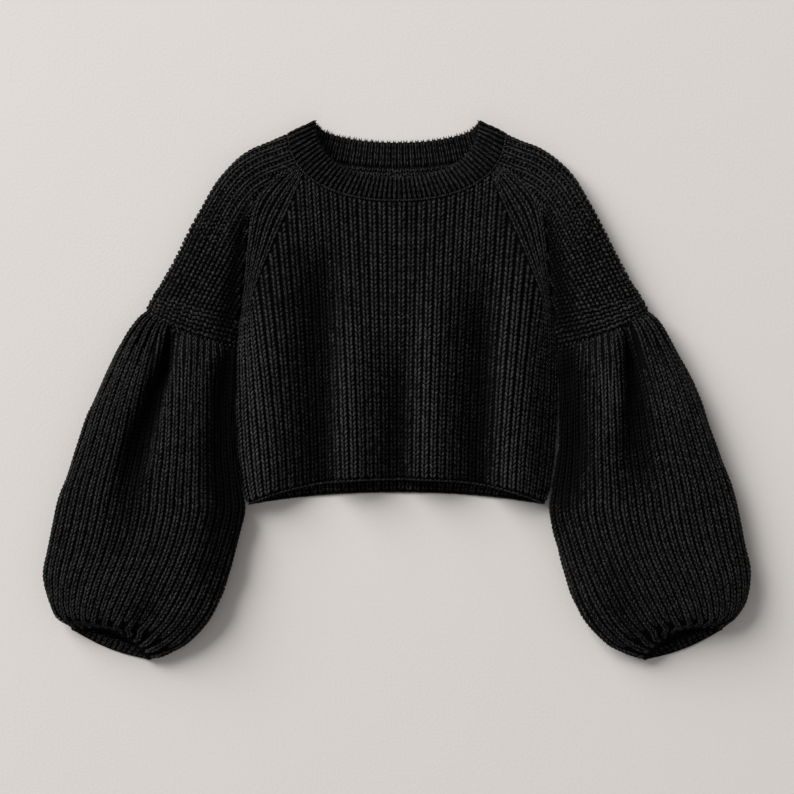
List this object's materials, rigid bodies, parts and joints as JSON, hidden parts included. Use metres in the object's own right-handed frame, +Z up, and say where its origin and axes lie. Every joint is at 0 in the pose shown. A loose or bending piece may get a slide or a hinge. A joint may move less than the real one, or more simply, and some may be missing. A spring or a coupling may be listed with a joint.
{
  "type": "cropped knit sweater",
  "caption": "Cropped chunky rib-knit crew-neck sweater with raglan seams and gathered balloon sleeves, laid out flat on its back.",
  "frame": {"origin": "middle of the garment's outline, on the surface that it lies on", "axes": "+X to the right as seen from above with the neck at the top, +Y towards the neck, +Z up from the surface, out of the front"},
  "size_m": [0.9548, 0.7356, 0.056],
  "materials": {
    "wool_knit": "matt chunky rib knit in charcoal black wool"
  },
  "bodies": {
    "root": {"front": "wool_knit", "back": "wool_knit", "neckband": "wool_knit", "sleeve_head_left": "wool_knit", "sleeve_head_right": "wool_knit", "balloon_sleeve_left": "wool_knit", "balloon_sleeve_right": "wool_knit", "cuff_left": "wool_knit", "cuff_right": "wool_knit"}
  },
  "joints": []
}
